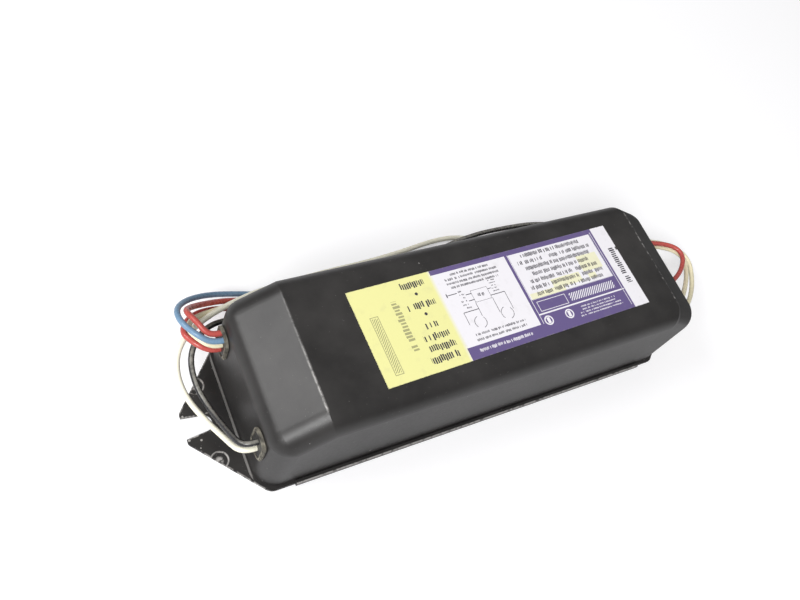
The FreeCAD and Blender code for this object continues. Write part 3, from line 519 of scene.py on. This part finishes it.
def label_foil(looks):
    """Printed foil: fields of colour, rows of bars for the lettering, grime and a nick."""
    finish = Finish("printed_label", Specular_IOR_Level=0.4)
    sheet = Print(finish)
    colour = None

    def lay(mask, ink):
        nonlocal colour
        colour = mask.blend(ink if colour is None else colour, ink)

    paper, yellow, purple, ink = (tuple(c) for c in (looks.paper, looks.yellow, looks.purple,
                                                     looks.ink))
    lay(sheet.box(0.0, 1.0, 0.0, 1.0), paper)
    lay(1 - sheet.x.ramp(0.274, 0.290), yellow)
    for band in ((0.284, 0.937, -0.02, 0.053), (0.284, 0.937, 0.869, 1.02),
                 (0.5625, 0.573, 0.0, 1.0), (0.575, 0.937, 0.600, 0.760),
                 (0.575, 0.937, 0.776, 0.90), (0.922, 0.937, 0.0, 1.0)):
        lay(sheet.box(*band), purple)
    # Marker strokes over the text field
    for stroke in ((0.82, 0.905, 0.27, 0.46), (0.68, 0.80, 0.44, 0.55), (0.58, 0.72, 0.53, 0.598),
                   (0.83, 0.862, 0.49, 0.55)):
        lay(sheet.box(*stroke), tuple(0.55 * a + 0.45 * b for a, b in zip(yellow, paper)))
    # Yellow field: a boxed turned line, a second one and short centred rows
    faded = tuple(0.45 * a + 0.55 * b for a, b in zip(yellow, ink))
    lay(sheet.frame(0.036, 0.064, 0.307, 0.910, 0.0024), faded)
    lay(sheet.hatch(0.0405, 0.0595, 0.325, 0.890, 0.0085), faded)
    lay(sheet.words(0.117, 0.142, 0.185, 0.778, 1, 5, turned=True, letter=0.0110, fill=0.92), faded)
    lay(sheet.words(0.155, 0.268, 0.033, 0.940, 8, 11, letter=0.0072, fill=0.62,
                    halves=(0.0405, 0.0, 0.0475, 0.0, 0.0235, 0.0440, 0.0480, 0.0520)), ink)
    for y in (0.195, 0.418):
        lay(sheet.spot(0.2115, y, 0.0052), ink)
    # Diagram field
    lay(sheet.words(0.293, 0.545, 0.070, 0.258, 4, 21, letter=0.0036, fill=0.54), ink)
    diagram(sheet, lay, ink)
    lay(sheet.words(0.293, 0.552, 0.742, 0.848, 2, 25, letter=0.0036, fill=0.5), ink)
    # Text field
    lay(sheet.words(0.585, 0.910, 0.0635, 0.5885, 7, 31, letter=0.0050, fill=0.60,
                    halves=(0.128, 0.150, 0.135, 0.118, 0.140, 0.150, 0.140)), ink)
    lay(sheet.frame(0.575, 0.921, 0.053, 0.598, 0.0010), purple)
    # Purple bands: plain blocks, spots and small pale rows
    lay(sheet.frame(0.588, 0.702, 0.628, 0.742, 0.0020), paper)
    lay(sheet.hatch(0.716, 0.905, 0.640, 0.728, 0.0100), paper)
    lay(sheet.box(0.575, 0.935, 0.764, 0.773), paper)
    for x in (0.598, 0.682):
        lay(sheet.spot(x, 0.850, 0.0165), paper)
        lay(sheet.spot(x, 0.850, 0.0120), purple)
        lay(sheet.box(x - 0.0055, x + 0.0055, 0.818, 0.882), paper)
    lay(sheet.words(0.712, 0.905, 0.800, 0.930, 4, 42, letter=0.0036, fill=0.5), paper)
    lay(sheet.words(0.300, 0.545, 0.905, 0.949, 1, 43, letter=0.0036, fill=0.75), paper)
    lay(sheet.box(0.9275, 0.9295, 0.04, 0.96), paper)
    # End strip
    lay(sheet.words(0.9625, 0.986, 0.18, 0.77, 1, 51, turned=True, letter=0.0075, fill=1.0), ink)
    # Grime, rubbed print and a dark nick in the right edge
    grime = finish.place.noise(240.0, 5.0).ramp(0.55, 0.80) * 0.16
    lay(grime, (0.33, 0.31, 0.28))
    lay(sheet.box(0.994, 1.01, 0.28, 0.32), (0.06, 0.055, 0.05))
    edge = 0.5 - (sheet.x - 0.5).size()
    edge = edge.lowest((0.5 - (sheet.y - 0.5).size()) * (LABEL_SPAN[1] / LABEL_SPAN[0]))
    ragged = finish.place.noise(800.0, 3.0)
    lay((1 - edge.ramp(0.0006, 0.0024)) * ragged.ramp(0.45, 0.62) * 0.55, (0.30, 0.28, 0.25))
    finish.set(Base_Color=colour, Roughness=0.42 + ragged * 0.12)
    return finish.bump(finish.place.noise(300.0, 2.0), 0.00004, 0.5)


def diagram(sheet, lay, ink):
    """A plain circuit drawing: two round lamps, their sockets and the lines between them."""
    for x, y, radius in ((0.370, 0.656, 0.0203), (0.473, 0.645, 0.0215)):
        lay(sheet.ring(x, y, radius, 0.0018, 0.11), ink)
    for x, y0, y1, seed in ((0.353, 0.275, 0.500, 61), (0.474, 0.215, 0.400, 62)):
        lay(sheet.words(x - 0.013, x + 0.013, y0, y1, 6, seed, letter=0.0042, fill=0.45), ink)
    lay(sheet.words(0.397, 0.438, 0.360, 0.402, 1, 63, letter=0.0036, fill=0.9), ink)
    lay(sheet.frame(0.386, 0.448, 0.315, 0.450, 0.0012), ink)
    lay(sheet.box(0.3015, 0.3045, 0.280, 0.325), ink)
    for x0, x1, y in ((0.304, 0.340, 0.303), (0.366, 0.386, 0.345), (0.448, 0.461, 0.345),
                      (0.366, 0.386, 0.415), (0.330, 0.386, 0.520), (0.448, 0.500, 0.420)):
        lay(sheet.box(x0, x1, y - 0.004, y + 0.004), ink)
    for x, y0, y1 in ((0.330, 0.520, 0.656), (0.385, 0.450, 0.600), (0.449, 0.450, 0.620),
                      (0.500, 0.420, 0.620)):
        lay(sheet.box(x - 0.0009, x + 0.0009, y0, y1), ink)


# Operators

class BALLAST_OT_stage(bpy.types.Operator):
    """Make the floor, the lamps and the camera"""
    bl_idname = "ballast.stage"
    bl_label = "Stage"

    def execute(self, context):
        sizes = context.scene.ballast_stage
        self.floor()
        self.lamps(context.scene, sizes)
        self.camera(context.scene, sizes)
        return {"FINISHED"}

    def floor(self):
        mesh = bpy.data.meshes.new("floor")
        reach = 3.0
        mesh.from_pydata([(-reach, -reach, 0.0), (reach, -reach, 0.0), (reach, reach, 0.0),
                          (-reach, reach, 0.0)], [], [(0, 1, 2, 3)])
        floor = bpy.data.objects.new("floor", mesh)
        bpy.context.collection.objects.link(floor)
        finish = Finish("white_floor", Base_Color=(0.72, 0.72, 0.73), Roughness=0.9)
        seen = finish.place.node("ShaderNodeLightPath")
        finish.set(Emission_Color=(1.0, 0.99, 1.0), Emission_Strength=seen * 0.37)
        mesh.materials.append(finish.material)

    def lamps(self, scene, sizes):
        world = bpy.data.worlds.new("sky")
        world.use_nodes = True
        tree = world.node_tree
        sky = tree.nodes["Background"]
        sky.inputs["Color"].default_value = (1.0, 1.0, 1.0, 1.0)
        way = Signal(tree, tree.nodes.new("ShaderNodeTexCoord").outputs["Generated"])
        level = (way.part("Z").ramp(0.15, 0.50) * 0.75 + 0.25) * sizes.sky
        seen = way.node("ShaderNodeLightPath")
        plug(tree, sky.inputs["Strength"], seen.highest(level))
        scene.world = world
        for name, place, span, power in (("key", (-1.02, 0.46, 0.92), 0.7, sizes.lamp_power),
                                         ("fill", (-0.95, -0.75, 1.05), 0.8, sizes.fill_power)):
            light = bpy.data.lights.new(name, "AREA")
            light.shape, light.size = "DISK", span
            light.energy = power
            lamp = bpy.data.objects.new(name, light)
            lamp.matrix_world = (Matrix.Translation(place)
                                 @ Vector(place).to_track_quat("Z", "Y").to_matrix().to_4x4())
            bpy.context.collection.objects.link(lamp)

    def camera(self, scene, sizes):
        side, lift, roll = (math.radians(v) for v in (sizes.azimuth, sizes.elevation, sizes.roll))
        back = Vector((math.sin(side) * math.cos(lift), -math.cos(side) * math.cos(lift),
                       math.sin(lift)))
        right = (-back).cross(Vector((0, 0, 1))).normalized()
        above = right.cross(-back)
        axis_x = right * math.cos(roll) + above * math.sin(roll)
        axis_y = above * math.cos(roll) - right * math.sin(roll)
        turn = Matrix((axis_x, axis_y, back)).transposed().to_4x4()
        lens = bpy.data.cameras.new("camera")
        lens.sensor_fit, lens.sensor_width, lens.lens = "HORIZONTAL", 36.0, sizes.lens
        lens.clip_start, lens.clip_end = 0.01, 20.0
        camera = bpy.data.objects.new("camera", lens)
        camera.matrix_world = Matrix.Translation(sizes.eye) @ turn
        bpy.context.collection.objects.link(camera)
        scene.camera = camera
        scene.view_settings.view_transform = "Standard"


class BALLAST_OT_leads(bpy.types.Operator):
    """Lay the nine leads along their routes"""
    bl_idname = "ballast.leads"
    bl_label = "Leads"

    def execute(self, context):
        sizes = context.scene.ballast_leads
        covers = {name: insulation(name) for name in LEAD_COLOURS}
        for name, route in ROUTES.items():
            colour = name.split("_")[2]
            piece = self.lead(name, route, sizes)
            piece.data.materials.append(covers[colour].material)
            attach(piece, "root")
            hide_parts(name)
        return {"FINISHED"}

    def lead(self, name, route, sizes):
        curve = bpy.data.curves.new(name + "_insulation", "CURVE")
        curve.dimensions = "3D"
        spline = curve.splines.new("NURBS")
        spline.points.add(len(route) - 1)
        for point, place in zip(spline.points, route):
            point.co = tuple(c * MM for c in place) + (1.0,)
        spline.order_u = 3
        spline.use_endpoint_u = True
        spline.resolution_u = 10
        curve.bevel_depth = sizes.width / 2
        curve.bevel_resolution = sizes.lobes
        curve.use_fill_caps = True
        piece = bpy.data.objects.new(name + "_insulation", curve)
        bpy.context.collection.objects.link(piece)
        return piece


class BALLAST_OT_steel(bpy.types.Operator):
    """Finish the can and the base plate in black enamel with wear and painted highlights"""
    bl_idname = "ballast.steel"
    bl_label = "Can and plate"

    def execute(self, context):
        looks = context.scene.ballast_enamel
        dress("case", enamel("can_enamel", looks, can_wear_and_highlights))
        dress("base_plate", enamel("plate_enamel", looks, plate_wear_and_highlights))
        return {"FINISHED"}


class BALLAST_OT_label(bpy.types.Operator):
    """Print the rating label"""
    bl_idname = "ballast.label"
    bl_label = "Label"

    def execute(self, context):
        dress("rating_label", label_foil(context.scene.ballast_label))
        return {"FINISHED"}


class BALLAST_OT_small_parts(bpy.types.Operator):
    """Finish the bushings, the compound, the stripped ends and what the can holds"""
    bl_idname = "ballast.small_parts"
    bl_label = "Small parts"

    def execute(self, context):
        fibre = plain("pale_fibre", (0.50, 0.47, 0.38), (0.70, 0.67, 0.58), 260.0, 0.75, 0.0001)
        # The lead bushings get a dark, mottled fibre.
        dark_mottled = plain("grubby_fibre", (0.030, 0.028, 0.025), (0.26, 0.24, 0.19), 420.0, 0.7,
                       0.0001)
        board = plain("kraft_board", (0.40, 0.30, 0.18), (0.55, 0.44, 0.29), 300.0, 0.8, 0.0001)
        tape = plain("cloth_tape", (0.55, 0.46, 0.28), (0.70, 0.62, 0.42), 900.0, 0.75, 0.0001)
        sleeve = plain("varnished_sleeve", (0.42, 0.40, 0.34), (0.58, 0.56, 0.50), 500.0, 0.4)
        steel = plain("stacked_steel", (0.13, 0.13, 0.14), (0.30, 0.30, 0.31), 400.0, 0.4,
                      0.00005, 0.9, (1, 1, 12))
        strip = plain("strip_steel", (0.35, 0.35, 0.36), (0.50, 0.50, 0.51), 300.0, 0.35, 0, 0.9)
        coil = plain("enamelled_wire", (0.33, 0.13, 0.05), (0.60, 0.28, 0.12), 350.0, 0.3,
                     0.00008, 0.8, (1, 14, 14))
        can = plain("drawn_aluminium", (0.50, 0.50, 0.51), (0.66, 0.66, 0.67), 200.0, 0.3, 0, 0.9)
        film = plain("wound_film", (0.45, 0.42, 0.34), (0.62, 0.60, 0.52), 300.0, 0.35)
        blade = plain("tinned_blade", (0.55, 0.50, 0.36), (0.70, 0.66, 0.52), 400.0, 0.3, 0, 0.9)
        clay = plain("coated_clay", (0.32, 0.20, 0.11), (0.48, 0.34, 0.22), 500.0, 0.5)
        tar = plain("potting_tar", (0.010, 0.010, 0.010), (0.030, 0.028, 0.026), 500.0, 0.42,
                    0.0003)
        copper = plain("stripped_copper", (0.58, 0.24, 0.11), (0.78, 0.40, 0.24), 900.0, 0.26,
                       0.00002, 1.0)
        dark = plain("dark_link", (0.02, 0.02, 0.022), (0.05, 0.05, 0.052), 500.0, 0.35)
        groups = (
            (dark_mottled, ("lead_bushing",)), (fibre, ("gap_spacer",)),
            (board, ("floor_liner", "coil_tube")),
            (tape, ("coil_wrap",)), (sleeve, ("splice", "capacitor_sleeve")),
            (steel, ("core_e", "core_i", "magnetic_shunt")), (strip, ("core_band", "protector")),
            (coil, ("primary_coil", "secondary_coil")), (can, ("capacitor_can", "cover")),
            (film, ("capacitor_roll",)), (blade, ("capacitor_terminal",)),
            (clay, ("bleed_resistor",)), (tar, ("potting_compound",)), (copper, ("conductor",)),
            (dark, ("capacitor_wire",)),
        )
        bare = [node for node in NODES if not any(
            key in node for key in ("case", "base_plate", "rating_label", "_lead_"))]
        for node in bare:
            exact = [finish for finish, keys in groups if node in keys]
            close = [finish for finish, keys in groups if any(key in node for key in keys)]
            if not close:
                raise RuntimeError("no finish for " + node)
            dress(node, (exact or close)[0])
        return {"FINISHED"}


class BALLAST_PT_panel(bpy.types.Panel):
    """Shows the operators and the sizes and colours"""
    bl_idname = "BALLAST_PT_panel"
    bl_label = "Lamp Ballast"
    bl_space_type = "VIEW_3D"
    bl_region_type = "UI"
    bl_category = "Ballast"

    def draw(self, context):
        for operator in OPERATORS:
            self.layout.operator(operator.bl_idname)
        for holder in GROUPS:
            group = getattr(context.scene, holder)
            for name in group.bl_rna.properties.keys():
                if name not in ("rna_type", "name"):
                    self.layout.prop(group, name)


GROUPS = {"ballast_stage": StageSizes, "ballast_enamel": EnamelLooks,
          "ballast_label": LabelLooks, "ballast_leads": LeadSizes}
OPERATORS = (BALLAST_OT_stage, BALLAST_OT_leads, BALLAST_OT_steel, BALLAST_OT_label,
             BALLAST_OT_small_parts)


def register():
    for kind in tuple(GROUPS.values()) + OPERATORS + (BALLAST_PT_panel,):
        bpy.utils.register_class(kind)
    for holder, kind in GROUPS.items():
        setattr(bpy.types.Scene, holder, PointerProperty(type=kind))


def unregister():
    for holder in GROUPS:
        delattr(bpy.types.Scene, holder)
    for kind in (BALLAST_PT_panel,) + OPERATORS[::-1] + tuple(GROUPS.values()):
        bpy.utils.unregister_class(kind)


def main():
    register()
    bpy.ops.ballast.stage()
    bpy.ops.ballast.leads()
    bpy.ops.ballast.steel()
    bpy.ops.ballast.label()
    bpy.ops.ballast.small_parts()


if __name__ == "__main__":
    main()
